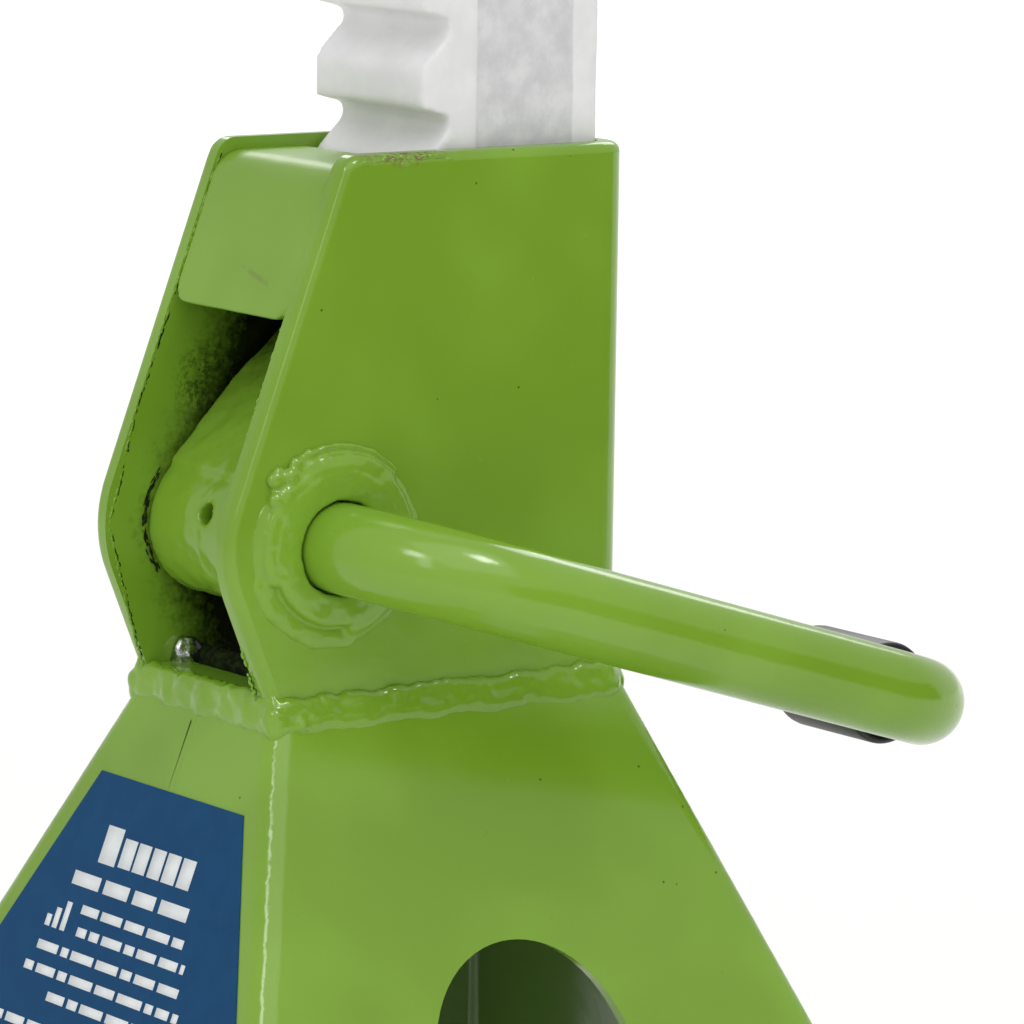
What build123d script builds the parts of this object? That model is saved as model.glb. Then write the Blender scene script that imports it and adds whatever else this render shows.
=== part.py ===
from build123d import *
from math import atan, cos, radians, sin, sqrt
import os

# Ratchet axle stand: a folded sheet base, a pressed head sleeve with a pawl
# inside it, and a cast toothed bar that slides up through the sleeve.
# X is the pawl shaft, -Y is the front, Z is up, and the origin is the middle
# of the base on the floor.

# Frame
sleeve_top = 236.0        # top of the head sleeve above the floor
sleeve_rear = 30.5        # outer rear face of the sleeve
sleeve_width = 33.0
sleeve_sheet = 3.0
sleeve_bend = 5.3         # outer radius of the two rear bends
sleeve_drop = 77.0        # height of the sleeve
front_at_top = -15.7      # where the slanted front edge meets the top
front_slope = 0.376       # the front edge leans forward going down
lower_slope = 0.412       # and comes back in below the pivot
cheek_corner = 3.2        # rounded top front corner of each cheek

# Pivot of pawl and handle
pivot_y = -17.2
pivot_z = 185.15
cheek_nose = 16.6         # the cheeks' round nose about the pivot
shaft_radius = 6.0
bearing_gap = 0.08
ring_gap = 0.30
ring_radius = 10.4
ring_height = 1.9
ring_rim = 0.7
ring_weld_radius = 13.0
ring_weld_height = 1.5

# Handle
handle_droop = 17.0       # degrees below level when the pawl is engaged
handle_bend = 17.0        # centre line radius of both bends
handle_offset = 38.1      # X of the long leg
handle_length = 94.6      # shaft axis to the axis of the short leg
shaft_end = -21.0
cap_radius = 7.2
cap_open_end = 20.4
cap_length = 18.5
cap_wall = 1.9            # closed end of the cap
cap_round = 2.6

# Pawl
hub_radius = 10.15
hub_side_gap = 0.3
pin_radius = 1.5
pin_bore = 0.9
pin_sunk = 3.2            # the pin's ends lie this far below the hub's surface
pin_rise = 17.0           # degrees above the level line, towards the front
pawl_width = 25.0
nose_short = 2.0          # the nose stops this far short of the tooth root
nose_gap = 0.4            # gap under the tooth
arm_front_rise = 18.4     # height above the pivot where the arm's front turns
arm_front_back = 2.1      # and how far behind the pivot that is
arm_chamfer = 3.2         # slanted front corner under the engaged tooth

# Toothed bar
tooth_pitch = 12.7
tooth_count = 13
bar_width = 25.4
bar_rear = 27.2
tooth_root = 2.6
tooth_tip = -1.7
raised_notches = 9        # how many notches the bar is raised at rest
engaged_root = 214.8      # underside of the engaged tooth, at its root
underside_rise = 1.0      # the underside rises towards the tip
tip_height = 5.35
ramp_height = 4.3
recess_depth = 0.4
recess_front = 6.8
recess_rear = 23.1
recess_corner = 3.0
recess_from_foot = 16.0   # plain foot below the recess
recess_from_neck = 6.0    # plain stretch above it
tip_round_low = 0.8       # rounding of each tooth's lower corner
tip_round_high = 2.8      # and of its upper corner
below_teeth = 45.0        # plain bar below the lowest tooth
above_teeth = 25.3        # plain bar above the highest tooth
bar_back_round = 1.2
stop_pin_radius = 3.0
stop_pin_reach = -9.0
stop_pin_rise = 5.2

# Saddle at the top of the bar
saddle_width = 74.0
saddle_depth = 34.0
saddle_neck = 12.0
saddle_seat = 10.0        # seat above the neck
saddle_horn = 12.0        # horns above the seat
saddle_flat = 30.0        # flat middle of the seat
saddle_waist = 0.62       # width where the neck meets the cradle
saddle_rim = 6.0          # thickness at the horns' tops
saddle_side = 2.0         # the sides start this far below the seat
saddle_round = 2.0

# Base
base_sheet = 2.0
base_bend = 3.5
base_top = 163.0
measure_height = 161.94   # height at which the next three values hold
half_width_there = 17.9
front_there = -27.5
rear_there = 30.65
side_slope = 0.501
face_front_slope = 0.387
face_rear_slope = 0.367
foot_thick = 3.0
foot_size = 38.0
foot_overhang = 5.6
foot_corner = 5.0
side_arch_radius = 15.6
side_arch_top = 133.7
face_arch_radius = 24.0
face_arch_top = 88.0
seam_weld_radius = 1.6
seam_weld_ends = (3.0, 6.0)   # clear of the arch and of the top
neck_weld_reach = 3.0     # the bead's height above and below the base's top
neck_weld_swell = 1.1     # how far it stands out of the base
neck_weld_middle = 0.6    # height above the base's top where it is widest
neck_weld_corner = 4.0
sill_front = -26.0
sill_depth = 5.0
sill_top = 166.0
sill_thick = 2.0
guide_rod_radius = 1.7
guide_rod_y = -18.8
guide_rod_z = 166.3

# Guide plate between the cheeks
plate_thick = 2.8
plate_bottom = 214.6
plate_sink = 1.6          # its top lies this far below the sleeve's
plate_bend = 5.0          # outer radius of the bend into the lip
plate_corner = 3.0
lip_gap = 0.9             # from the lip to the teeth
guide_weld_low = 221.5
guide_weld_high = 229.5
guide_weld_leg = 1.5

# Label
label_top = 151.2
label_bottom = 101.0
label_half_top = 17.3
label_slope = 0.532
label_thick = 0.15

half_sleeve = sleeve_width / 2
inner_half = half_sleeve - sleeve_sheet
sleeve_bottom = sleeve_top - sleeve_drop
lift = raised_notches * tooth_pitch
reach = 160.0             # longer than anything it cuts


def yz(points):
    """Turns (y, z) pairs into points on the plane X = 0."""
    return [Vector(0, y, z) for y, z in points]


def across(face, half):
    """Extrudes a face on X = 0 both ways along X."""
    return extrude(face, amount=half, dir=(1, 0, 0), both=True)


def tube_x(radius, x0, x1, y, z):
    length = x1 - x0
    plane = Plane(origin=((x0 + x1) / 2, y, z), z_dir=(1, 0, 0))
    return plane * Cylinder(radius, length)


def front_edge(z):
    """Y of the cheeks' slanted front edge at height z."""
    return front_at_top + front_slope * (z - sleeve_top)


def half_width(z):
    return half_width_there + side_slope * (measure_height - z)


def front_face(z):
    return front_there - face_front_slope * (measure_height - z)


def rear_face(z):
    return rear_there + face_rear_slope * (measure_height - z)


def pyramid(low, high, grow_x=0.0, grow_y=0.0, bend=0.0):
    """A four sided block with the base's outer slopes, grown by an offset."""
    sections = []
    for z in (low, high):
        width = 2 * (half_width(z) + grow_x)
        near, far = front_face(z) - grow_y, rear_face(z) + grow_y
        place = Pos(0, (near + far) / 2, z)
        sections.append(place * Rectangle(width, far - near))
    block = loft(sections, ruled=True)
    if bend:
        slanted = [e for e in block.edges() if abs(e.bounding_box().size.Z) > (high - low) / 2]
        block = fillet(slanted, bend)
    return block


def arch(radius, top, slope_left, slope_right, centre, bottom):
    """An arch outline as (u, z): a round top with tangent legs that spread."""
    crown = top - radius
    sides = []
    for slope, side in ((slope_left, -1), (slope_right, 1)):
        lean = atan(slope)
        u, z = centre + side * radius * cos(lean), crown + radius * sin(lean)
        sides.append(((u, z), (u + side * slope * (z - bottom), bottom)))
    return sides, (centre, top)


def arch_face(plane, outline):
    (left, right), top = outline
    edges = [
        Line(left[1], left[0]),
        ThreePointArc(left[0], top, right[0]),
        Line(right[0], right[1]),
        Line(right[1], left[1]),
    ]
    return plane * make_face(edges)


def sleeve_block(grow=0.0, bend=sleeve_bend):
    """The sleeve's full outline in plan, as a tall block."""
    depth = reach / 2
    middle = sleeve_rear + grow - depth / 2
    block = Pos(0, middle, sleeve_bottom) * Box(
        sleeve_width + 2 * grow, depth, sleeve_drop, align=(Align.CENTER, Align.CENTER, Align.MIN)
    )
    rear = [
        e
        for e in block.edges()
        if abs(e.bounding_box().size.Z) > 1 and e.center().Y > middle
    ]
    return fillet(rear, bend + grow)


def cheek_outline():
    """Side profile of the sleeve: slanted front, round nose, then back in."""
    lean = sqrt(1 + front_slope**2)
    lower = sqrt(1 + lower_slope**2)
    upper_touch = (pivot_y - cheek_nose / lean, pivot_z + cheek_nose * front_slope / lean)
    lower_touch = (pivot_y - cheek_nose / lower, pivot_z - cheek_nose * lower_slope / lower)
    bottom_front = lower_touch[0] + lower_slope * (lower_touch[1] - sleeve_bottom)
    # the straight edge runs from the tangent point up to the top corner
    top_front = upper_touch[0] + front_slope * (sleeve_top - upper_touch[1])
    rear = sleeve_rear + 1
    edges = [
        Line((rear, sleeve_bottom), (rear, sleeve_top)),
        Line((rear, sleeve_top), (top_front, sleeve_top)),
        Line((top_front, sleeve_top), upper_touch),
        ThreePointArc(upper_touch, (pivot_y - cheek_nose, pivot_z), lower_touch),
        Line(lower_touch, (bottom_front, sleeve_bottom)),
        Line((bottom_front, sleeve_bottom), (rear, sleeve_bottom)),
    ]
    face = make_face(edges)
    corner = face.vertices().sort_by_distance((top_front, sleeve_top))[0]
    return fillet(corner, cheek_corner)


side_plane = Plane(origin=(0, 0, 0), x_dir=(0, 1, 0), z_dir=(1, 0, 0))
face_plane = Plane(origin=(0, 0, 0), x_dir=(1, 0, 0), z_dir=(0, -1, 0))


def make_sleeve():
    block = sleeve_block()
    hollow_depth = reach / 2
    hollow = Pos(0, sleeve_rear - sleeve_sheet - hollow_depth / 2, sleeve_bottom) * Box(
        2 * inner_half, hollow_depth, sleeve_drop, align=(Align.CENTER, Align.CENTER, Align.MIN)
    )
    rear = [
        e
        for e in hollow.edges()
        if abs(e.bounding_box().size.Z) > 1 and e.center().Y > 0
    ]
    hollow = fillet(rear, sleeve_bend - sleeve_sheet)
    profile = across(side_plane * cheek_outline(), half_sleeve)
    shell = (block - hollow) & profile
    bore = tube_x(shaft_radius + bearing_gap, -half_sleeve - 1, half_sleeve + 1, pivot_y, pivot_z)
    return shell - bore


def make_base_halves():
    low = foot_thick
    outer = pyramid(low, base_top, bend=base_bend)
    wall_x = base_sheet * sqrt(1 + side_slope**2)
    wall_y = base_sheet * sqrt(1 + face_front_slope**2)
    inner = pyramid(low - 1, base_top + 1, -wall_x, -wall_y, base_bend - base_sheet)
    leg_side = arch(side_arch_radius, side_arch_top, face_front_slope, face_rear_slope, 0.0, 0.0)
    leg_face = arch(face_arch_radius, face_arch_top, side_slope, side_slope, 0.0, 0.0)
    side_cut = across(arch_face(side_plane, leg_side), reach)
    face_cut = extrude(arch_face(face_plane, leg_face), amount=reach, both=True)
    seat = sleeve_block() & across(side_plane * cheek_outline(), half_sleeve)
    shell = outer - inner - side_cut - face_cut - seat
    half_box = Box(reach, 2 * reach, 2 * base_top, align=(Align.MIN, Align.CENTER, Align.MIN))
    right = shell & half_box
    left = shell - half_box
    return right, left


def make_feet():
    """One flat plate under the corner of each leg."""
    feet = {}
    for side, sx in (("right", 1), ("left", -1)):
        for end, sy in (("front", -1), ("rear", 1)):
            edge_x = half_width(foot_thick) + foot_overhang
            edge_y = (front_face(foot_thick) if sy < 0 else rear_face(foot_thick)) + sy * foot_overhang
            x = sx * (edge_x - foot_size / 2)
            y = edge_y - sy * foot_size / 2
            plate = Pos(x, y, foot_thick / 2) * Box(foot_size, foot_size, foot_thick)
            upright = plate.edges().filter_by(Axis.Z)
            feet[f"foot_{end}_{side}"] = fillet(upright, foot_corner)
    return feet


def make_seam_welds():
    """Beads along the inside of the front and rear seams."""
    low, high = face_arch_top + seam_weld_ends[0], base_top - seam_weld_ends[1]
    inset = base_sheet * sqrt(1 + face_front_slope**2)
    beads = []
    for place, sign in ((front_face, 1), (rear_face, -1)):
        start = Vector(0, place(high) + sign * inset, high)
        end = Vector(0, place(low) + sign * inset, low)
        plane = Plane(origin=start, z_dir=(end - start).normalized(), x_dir=(1, 0, 0))
        rod = extrude(plane * Circle(seam_weld_radius), amount=(end - start).length)
        inside = pyramid(low - base_bend, high + base_bend, -1.04 * inset, -inset)
        beads.append(rod & inside)
    return Compound(children=[solid for bead in beads for solid in bead.solids()])


def make_guide_plate():
    """A plate between the cheeks, bent back at the top into a short lip."""
    top = sleeve_top - plate_sink
    lip_end = tooth_tip - lip_gap
    inward = plate_thick / cos(atan(front_slope))
    inner_corner = front_edge(top - plate_thick) + inward
    outline = [
        (front_edge(plate_bottom), plate_bottom),
        (front_edge(top), top),
        (lip_end, top),
        (lip_end, top - plate_thick),
        (inner_corner, top - plate_thick),
        (front_edge(plate_bottom) + inward, plate_bottom),
    ]
    plate = across(side_plane * make_face(Polyline(outline, close=True)), inner_half)

    def bend_edge(y, z):
        edges = plate.edges().filter_by(Axis.X)
        return min(edges, key=lambda e: (e.center().Y - y) ** 2 + (e.center().Z - z) ** 2)

    plate = fillet(bend_edge(inner_corner, top - plate_thick), plate_bend - plate_thick)
    plate = fillet(bend_edge(front_edge(top), top), plate_bend)
    low_corners = [
        e
        for e in plate.edges()
        if e.center().Z < plate_bottom + 0.6
        and abs(abs(e.center().X) - inner_half) < 0.01
        and e.bounding_box().size.Y > plate_thick * 0.9
    ]
    return fillet(low_corners, plate_corner)


def make_guide_welds():
    """A bead behind each side of the guide plate."""
    thick = plate_thick / cos(atan(front_slope))
    leg = guide_weld_leg
    beads = []
    for side in (-1, 1):
        x = side * inner_half
        start = Vector(x, front_edge(guide_weld_low) + thick, guide_weld_low)
        end = Vector(x, front_edge(guide_weld_high) + thick, guide_weld_high)
        direction = (end - start).normalized()
        corner = Plane(origin=start, z_dir=direction, x_dir=(-side, 0, 0))
        inward = leg if corner.y_dir.Y > 0 else -leg
        triangle = make_face(Polyline((0, 0), (leg, 0), (0, inward), close=True))
        beads.append(extrude(corner * triangle, amount=(end - start).length))
    return Compound(children=beads)


def make_ring(side):
    face = side * half_sleeve
    x0, x1 = sorted((face, face + side * ring_height))
    ring = tube_x(ring_radius, x0, x1, pivot_y, pivot_z)
    ring = ring - tube_x(shaft_radius + ring_gap, x0 - 1, x1 + 1, pivot_y, pivot_z)
    rims = [
        e
        for e in ring.edges().filter_by(GeomType.CIRCLE)
        if abs(e.radius - ring_radius) < 0.01 and abs(e.center().X - face) > ring_height / 2
    ]
    return fillet(rims, ring_rim)


def make_ring_weld(side):
    """A fillet weld between ring and cheek, as a cone round the ring."""
    face = side * half_sleeve
    outline = [(ring_radius, 0), (ring_weld_radius, 0), (ring_radius, -ring_weld_height)]
    plane = Plane(origin=(face, pivot_y, pivot_z), x_dir=(0, 1, 0), z_dir=(0, 0, side))
    section = plane * make_face(Polyline(*outline, close=True))
    return revolve(section, axis=Axis((face, pivot_y, pivot_z), (1, 0, 0)), revolution_arc=360)


def make_neck_weld():
    """The bead that joins the sleeve to the top of the base."""
    low, high = base_top - neck_weld_reach, base_top + neck_weld_reach
    sections = []
    for z, grow in ((low, neck_weld_swell), (base_top + neck_weld_middle, neck_weld_swell), (high, 0.0)):
        width = 2 * (half_width(z) + grow)
        if z > base_top:
            width += neck_weld_swell
        near, far = front_face(z) - grow, rear_face(z) + grow
        sections.append(Pos(0, (near + far) / 2, z) * RectangleRounded(width, far - near, neck_weld_corner))
    bead = loft(sections, ruled=True)
    outer = pyramid(low - base_bend, base_top, bend=base_bend)
    seat = sleeve_block() & across(side_plane * cheek_outline(), half_sleeve)
    mouth = 2 * (sleeve_rear - sleeve_sheet)
    opening = Pos(0, 0, base_top) * Box(2 * inner_half, mouth, 2 * neck_weld_reach + base_bend)
    bead = bead - outer - seat - opening
    return max(bead.solids(), key=lambda s: s.volume)


def make_sill():
    """A small plate between the cheeks behind the front weld."""
    place = Pos(0, sill_front + sill_depth / 2, sill_top - sill_thick / 2)
    return place * Box(2 * inner_half, sill_depth, sill_thick)


def make_pawl():
    """A cast pawl: a hub on the shaft and an arm that ends in a wedge nose."""
    depth = tooth_root - tooth_tip
    nose_y = tooth_root - nose_short

    def under_tooth(y):
        return engaged_root + underside_rise * (tooth_root - y) / depth - nose_gap

    def over_ramp(y):
        ramp_root = engaged_root - tooth_pitch + underside_rise + tip_height + ramp_height
        return ramp_root - ramp_height * (tooth_root - y) / depth + 1.5 * nose_gap

    arm_back = tooth_tip - nose_gap
    hub_front = Vector(-0.72, 0.8) * hub_radius
    hub_rear = Vector(0.96, 0.28) * hub_radius
    arm = [
        (nose_y, under_tooth(nose_y)),
        (tooth_tip, under_tooth(tooth_tip)),
        (tooth_tip - arm_chamfer, under_tooth(tooth_tip) - arm_chamfer),
        (pivot_y + arm_front_back, pivot_z + arm_front_rise),
        (pivot_y + hub_front.X, pivot_z + hub_front.Y),
        (pivot_y, pivot_z),
        (pivot_y + hub_rear.X, pivot_z + hub_rear.Y),
        (arm_back, over_ramp(arm_back)),
        (nose_y, over_ramp(nose_y)),
    ]
    body = across(side_plane * make_face(Polyline(arm, close=True)), pawl_width / 2)
    hub = tube_x(hub_radius, -inner_half + hub_side_gap, inner_half - hub_side_gap, pivot_y, pivot_z)
    pawl = body + hub
    pawl = pawl - tube_x(shaft_radius, -inner_half, inner_half, pivot_y, pivot_z)
    return pawl - pin_tool(pin_radius)


def pin_tool(radius):
    """A long cylinder along the roll pin's axis."""
    rise = radians(pin_rise)
    direction = Vector(0, -cos(rise), sin(rise))
    plane = Plane(origin=(0, pivot_y, pivot_z), z_dir=direction)
    return plane * Cylinder(radius, 2 * hub_radius + 6)


def make_roll_pin():
    """A split spring pin through hub and shaft."""
    rise = radians(pin_rise)
    direction = Vector(0, -cos(rise), sin(rise))
    plane = Plane(origin=(0, pivot_y, pivot_z), z_dir=direction)
    length = 2 * (hub_radius - pin_sunk)
    slit = Pos(pin_radius, 0, 0) * Box(2 * pin_radius, 0.5, length + 2)
    return plane * (Cylinder(pin_radius, length) - Cylinder(pin_bore, length + 2) - slit)


def handle_path():
    droop = radians(handle_droop)
    along = Vector(0, cos(droop), -sin(droop))
    pivot = Vector(0, pivot_y, pivot_z)
    corner = pivot + Vector(handle_offset, 0, 0)
    end_corner = corner + along * handle_length
    tip_x = cap_open_end - cap_length + cap_wall
    tip = Vector(tip_x, end_corner.Y, end_corner.Z)
    start = pivot + Vector(shaft_end, 0, 0)
    return FilletPolyline(start, corner, end_corner, tip, radius=handle_bend)


def make_handle():
    path = handle_path()
    section = Plane(origin=path @ 0, z_dir=path % 0) * Circle(shaft_radius)
    rod = sweep(section, path=path)
    return rod - pin_tool(pin_radius)


def make_cap():
    """A dipped rubber cap on the short leg, closed and rounded at its end."""
    tip = handle_path() @ 1
    closed_end = cap_open_end - cap_length
    cap = tube_x(cap_radius, closed_end, cap_open_end, tip.Y, tip.Z)
    rim = min(cap.edges().filter_by(GeomType.CIRCLE), key=lambda e: e.center().X)
    cap = fillet(rim, cap_round)
    return cap - tube_x(shaft_radius, tip.X, cap_open_end + 1, tip.Y, tip.Z)


def bar_outline():
    """Side profile of the bar: a plain back and a row of teeth in front."""
    lowest = engaged_root - (tooth_count - 1) * tooth_pitch + lift
    points = [(bar_rear, lowest - below_teeth), (tooth_root, lowest - below_teeth)]
    for number in range(tooth_count):
        root = lowest + number * tooth_pitch
        tip = root + underside_rise
        points += [
            (tooth_root, root),
            (tooth_tip, tip),
            (tooth_tip, tip + tip_height),
            (tooth_root, tip + tip_height + ramp_height),
        ]
    top = lowest + (tooth_count - 1) * tooth_pitch + above_teeth
    points += [(tooth_root, top + 1.0), (bar_rear, top + 1.0)]
    return points, lowest, top


def make_bar():
    points, lowest, top = bar_outline()
    face = make_face(Polyline(points, close=True))
    tips = face.vertices().filter_by(lambda v: abs(v.X - tooth_tip) < 0.01)
    upper = [v for v in tips if round((v.Y - lowest) % tooth_pitch, 2) > underside_rise]
    face = fillet(upper, tip_round_high)
    lower = [
        v
        for v in face.vertices()
        if abs(v.X - tooth_tip) < 0.01 and abs((v.Y - lowest) % tooth_pitch - underside_rise) < 0.01
    ]
    face = fillet(lower, tip_round_low)
    bar = across(side_plane * face, bar_width / 2)
    back = [e for e in bar.edges().filter_by(Axis.Z) if e.center().Y > bar_rear - 1]
    bar = fillet(back, bar_back_round)
    low_end, high_end = lowest - below_teeth + recess_from_foot, top - recess_from_neck
    for side in (-1, 1):
        recess = Box(2 * recess_depth, recess_rear - recess_front, high_end - low_end)
        place = Pos(side * bar_width / 2, (recess_front + recess_rear) / 2, (low_end + high_end) / 2)
        bar = bar - place * fillet(recess.edges().filter_by(Axis.X), recess_corner)
    pin_z = lowest - below_teeth + stop_pin_rise
    bar = bar - (Pos(0, 0, pin_z) * Rot(90, 0, 0) * Cylinder(stop_pin_radius, 2 * saddle_depth))
    return bar + make_saddle(top)


def make_saddle(top):
    """A flared neck and a shallow cradle with a horn at each end."""
    middle = (tooth_root + bar_rear) / 2
    waist = saddle_waist * saddle_width
    under = top + saddle_neck
    neck = loft(
        [
            Pos(0, middle, top) * Rectangle(bar_width, bar_rear - tooth_root),
            Pos(0, middle, under) * Rectangle(waist, saddle_depth),
        ],
        ruled=True,
    )
    seat = under + saddle_seat
    half, horn = saddle_width / 2, seat + saddle_horn
    half_outline = [
        (waist / 2, under),
        (half, seat - saddle_side),
        (half, horn),
        (half - saddle_rim, horn),
        (saddle_flat / 2, seat),
    ]
    cradle = half_outline + [(-x, z) for x, z in reversed(half_outline)]
    plane = Plane(origin=(0, middle, 0), x_dir=(1, 0, 0), z_dir=(0, -1, 0))
    saddle = extrude(plane * make_face(Polyline(cradle, close=True)), amount=saddle_depth / 2, both=True)
    horns = [e for e in saddle.edges().filter_by(Axis.Y) if e.center().Z > horn - 1]
    return neck + fillet(horns, saddle_round)


def make_stop_pin():
    """A pin through the bar's foot that catches under the pawl hub."""
    points, lowest, top = bar_outline()
    pin_z = lowest - below_teeth + stop_pin_rise
    length = bar_rear - stop_pin_reach
    place = Pos(0, (bar_rear + stop_pin_reach) / 2, pin_z) * Rot(90, 0, 0)
    return place * Cylinder(stop_pin_radius, length)


def make_label():
    half_low = label_half_top + label_slope * (label_top - label_bottom)
    tall = sqrt(1 + face_front_slope**2)
    height = (label_top - label_bottom) * tall
    lean = Vector(0, -face_front_slope, -1).normalized()
    origin = Vector(0, front_face(label_top), label_top)
    plane = Plane(origin=origin, x_dir=(1, 0, 0), z_dir=Vector(1, 0, 0).cross(-lean))
    outline = Polyline(
        (-label_half_top, 0), (label_half_top, 0), (half_low, -height), (-half_low, -height), close=True
    )
    return extrude(plane * make_face(outline), amount=label_thick)


def make_all():
    right, left = make_base_halves()
    parts = {
        "base_shell_right": right,
        "base_shell_left": left,
        "base_seam_welds": make_seam_welds(),
        "head_sleeve": make_sleeve(),
        "front_guide_plate": make_guide_plate(),
        "guide_plate_welds": make_guide_welds(),
        "sleeve_neck_weld": make_neck_weld(),
        "front_sill_plate": make_sill(),
        "lower_guide_rod": tube_x(guide_rod_radius, -inner_half, inner_half, guide_rod_y, guide_rod_z),
        "pawl": make_pawl(),
        "pawl_roll_pin": make_roll_pin(),
        "handle_rod": make_handle(),
        "handle_cap": make_cap(),
        "ratchet_bar": make_bar(),
        "bar_stop_pin": make_stop_pin(),
        "front_label": make_label(),
    }
    parts.update(make_feet())
    for name, side in (("right", 1), ("left", -1)):
        parts[f"boss_ring_{name}"] = make_ring(side)
        parts[f"boss_weld_{name}"] = make_ring_weld(side)
    return parts


os.makedirs("parts", exist_ok=True)
for node, shape in make_all().items():
    export_step(shape, f"parts/{node}.step")
    box = shape.bounding_box()
    print(node, [round(v, 2) for v in (*box.min, *box.max)])
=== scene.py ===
import bpy, bmesh, math, random
from mathutils import Matrix, Quaternion, Vector, noise


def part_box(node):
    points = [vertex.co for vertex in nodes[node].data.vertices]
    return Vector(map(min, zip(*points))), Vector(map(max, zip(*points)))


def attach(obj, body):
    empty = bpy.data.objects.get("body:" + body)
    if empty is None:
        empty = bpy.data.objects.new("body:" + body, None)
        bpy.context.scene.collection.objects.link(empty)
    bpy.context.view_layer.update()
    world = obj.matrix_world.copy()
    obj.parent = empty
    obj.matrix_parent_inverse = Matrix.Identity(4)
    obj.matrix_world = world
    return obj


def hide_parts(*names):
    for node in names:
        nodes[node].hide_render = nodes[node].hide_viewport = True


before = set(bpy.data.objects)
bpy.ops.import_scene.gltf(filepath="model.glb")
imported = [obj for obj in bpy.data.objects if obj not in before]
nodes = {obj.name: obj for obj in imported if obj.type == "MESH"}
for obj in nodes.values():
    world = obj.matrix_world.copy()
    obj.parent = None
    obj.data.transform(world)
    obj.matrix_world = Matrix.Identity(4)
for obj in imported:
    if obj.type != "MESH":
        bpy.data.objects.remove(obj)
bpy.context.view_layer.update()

mm = 0.001
scene = bpy.context.scene
sharpAngle = math.radians(32)  # edges that turn more than this count as sharp
pivotY, pivotZ = -17.2, 185.15  # axis of the lever's shaft, mm


def linear(hexText, alpha=1.0):
    # sRGB hex to the linear values the shaders want
    out = []
    for i in (1, 3, 5):
        v = int(hexText[i:i + 2], 16) / 255
        out.append(v / 12.92 if v <= 0.04045 else ((v + 0.055) / 1.055) ** 2.4)
    return (*out, alpha)


def addNode(mat, kind, settings={}, links={}):
    # settings go to sockets by name or number, or to the node itself; a link is (node, output);
    # a MapRange has its value on 0 and its range on 1 to 4, a colour Mix its factor on 0, colours on 6 and 7
    node = mat.node_tree.nodes.new("ShaderNode" + kind)
    for key, value in settings.items():
        if isinstance(key, int) or key in node.inputs:
            node.inputs[key].default_value = value
        else:
            setattr(node, key, value)
    for key, (source, output) in links.items():
        mat.node_tree.links.new(source.outputs[output], node.inputs[key])
    return node


def newMaterial(name):
    mat = bpy.data.materials.new(name)
    mat.use_nodes = True
    mat.node_tree.nodes.clear()
    return mat


def paint(obj, mat):
    obj.data.materials.clear()
    obj.data.materials.append(mat)


def nodeCopy(name):
    # a CAD node's mesh is loose triangles, so a copy is merged and its flat faces joined
    bm = bmesh.new()
    bm.from_mesh(nodes[name].data)
    bmesh.ops.remove_doubles(bm, verts=bm.verts, dist=0.004 * mm)
    bmesh.ops.dissolve_limit(bm, angle_limit=math.radians(0.6), verts=bm.verts, edges=bm.edges)
    return bm


def makePiece(bm, name, mat, body, replaced=()):
    mesh = bpy.data.meshes.new(name)
    bm.to_mesh(mesh)
    bm.free()
    obj = bpy.data.objects.new(name, mesh)
    scene.collection.objects.link(obj)
    for face in mesh.polygons:
        face.use_smooth = True
    paint(obj, mat)
    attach(obj, body)
    if replaced:
        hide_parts(*replaced)
    return obj


def applyModifiers(obj):
    bpy.context.view_layer.update()
    done = bpy.data.meshes.new_from_object(obj.evaluated_get(bpy.context.evaluated_depsgraph_get()))
    obj.modifiers.clear()
    old = obj.data
    obj.data = done
    bpy.data.meshes.remove(old)
    for face in obj.data.polygons:
        face.use_smooth = True


def remesh(obj, voxel, smoothTimes):
    # joins overlapping lumps into one skin, then relaxes it as thick paint or a casting would
    solid = obj.modifiers.new("joinedSkin", "REMESH")
    solid.mode, solid.voxel_size = "VOXEL", voxel * mm
    relax = obj.modifiers.new("relaxedSkin", "SMOOTH")
    relax.factor, relax.iterations = 0.5, smoothTimes
    applyModifiers(obj)


def roughen(obj, layers, seed):
    # layers are (height, size) in mm, pushed along the normals
    shift = Vector((seed * 7.3, seed * 3.1, seed * 5.7))
    verts = obj.data.vertices
    normals = [v.normal.copy() for v in verts]
    moved = []
    for v, n in zip(verts, normals):
        push = sum(h * noise.noise(v.co / (size * mm) + shift) for h, size in layers)
        moved.extend(v.co + n * push * mm)
    verts.foreach_set("co", moved)
    obj.data.update()


def softEdges(obj, width):
    # breaks the sharp edges and keeps large faces flat in the light, so only the edges shade
    bevel = obj.modifiers.new("softEdges", "BEVEL")
    bevel.width, bevel.segments = width * mm, 2
    bevel.limit_method, bevel.angle_limit = "ANGLE", sharpAngle
    bevel.miter_outer = "MITER_ARC"
    flat = obj.modifiers.new("flatFaces", "WEIGHTED_NORMAL")
    flat.mode, flat.weight, flat.keep_sharp = "FACE_AREA", 100, False
    applyModifiers(obj)


def lump(bm, centre, radius, squeeze=(1, 1, 1), turn=None, divisions=2):
    place = Matrix.Translation(Vector(centre) * mm)
    if turn:
        place = place @ turn.to_matrix().to_4x4()
    place = place @ Matrix.Diagonal((*squeeze, 1))
    bmesh.ops.create_icosphere(bm, subdivisions=divisions, radius=radius * mm, matrix=place)


camSet = dict(azimuth=54.114, elevation=8.911, roll=0.86, lens=205.1, distance=791.8,
              aim=(2.90, 20.84, 184.86))


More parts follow.
